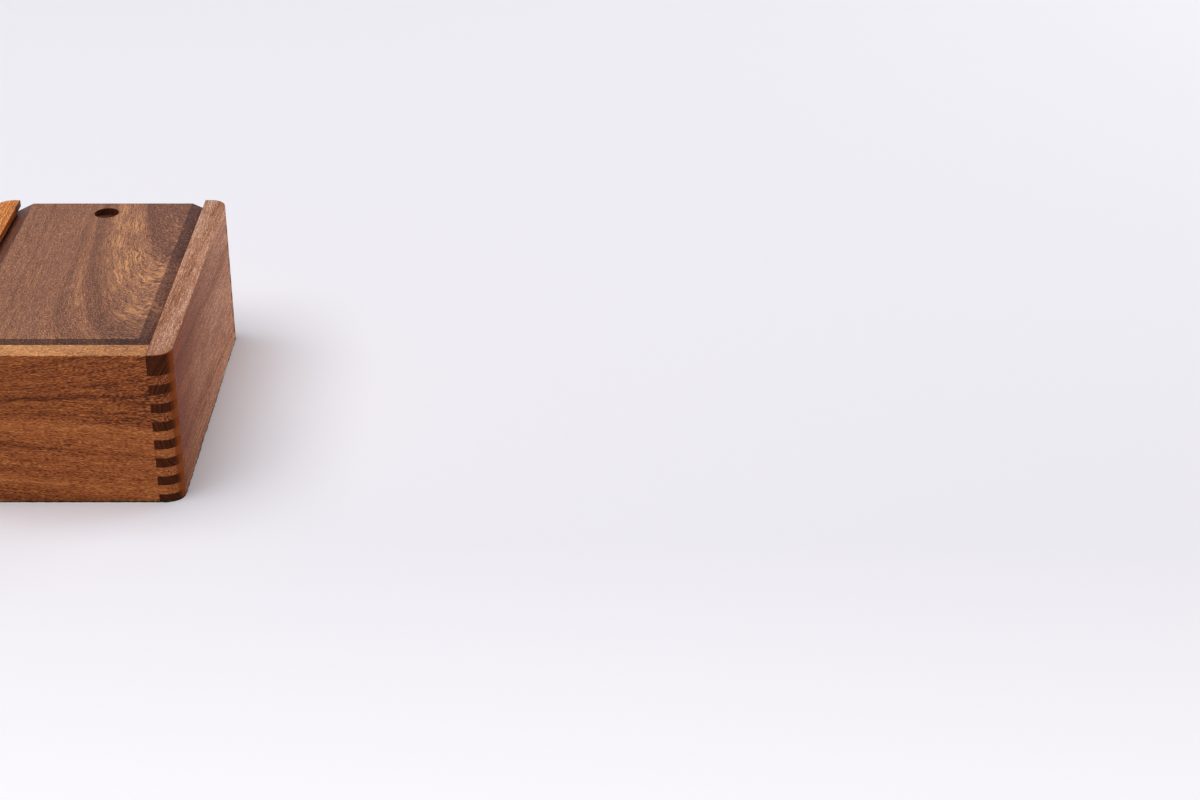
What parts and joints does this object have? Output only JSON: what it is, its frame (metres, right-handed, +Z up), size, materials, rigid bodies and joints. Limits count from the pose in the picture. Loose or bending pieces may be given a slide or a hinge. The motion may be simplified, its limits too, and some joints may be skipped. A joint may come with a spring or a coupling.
{
  "type": "chess piece box with sliding lid",
  "caption": "Finger-jointed wooden chess-piece box with rounded corners, a bevelled sliding lid with a finger scoop, a divider, baize lining and a felt base.",
  "frame": {"origin": "centre of the base felt's underside, on the surface that the box stands on", "axes": "+Z up; the front faces -Y and the lid slides out towards +Y; +X to the right, seen from the front"},
  "size_m": [0.159, 0.2434, 0.1022],
  "materials": {
    "carcass_wood": "reddish-brown hardwood, thin satin finish",
    "lid_wood": "brown hardwood, thin satin finish",
    "inner_wood": "hardwood board, sanded",
    "green_felt": "pressed wool felt",
    "green_baize": "napped baize"
  },
  "bodies": {
    "box": {"front_wall": "carcass_wood", "back_wall": "carcass_wood", "left_wall": "carcass_wood", "right_wall": "carcass_wood", "bottom_panel": "inner_wood", "divider": "inner_wood", "base_felt": "green_felt", "front_bay_floor_lining": "green_baize", "front_bay_end_lining": "green_baize", "front_bay_left_lining": "green_baize", "front_bay_right_lining": "green_baize", "front_bay_divider_lining": "green_baize", "back_bay_floor_lining": "green_baize", "back_bay_end_lining": "green_baize", "back_bay_left_lining": "green_baize", "back_bay_right_lining": "green_baize", "back_bay_divider_lining": "green_baize"},
    "lid": {"sliding_lid": "lid_wood"}
  },
  "joints": [
    {"name": "lid_slide", "type": "slide", "parent": "box", "child": "lid", "axis": [0, 1, 0], "range_m": [0, 0.231]}
  ]
}
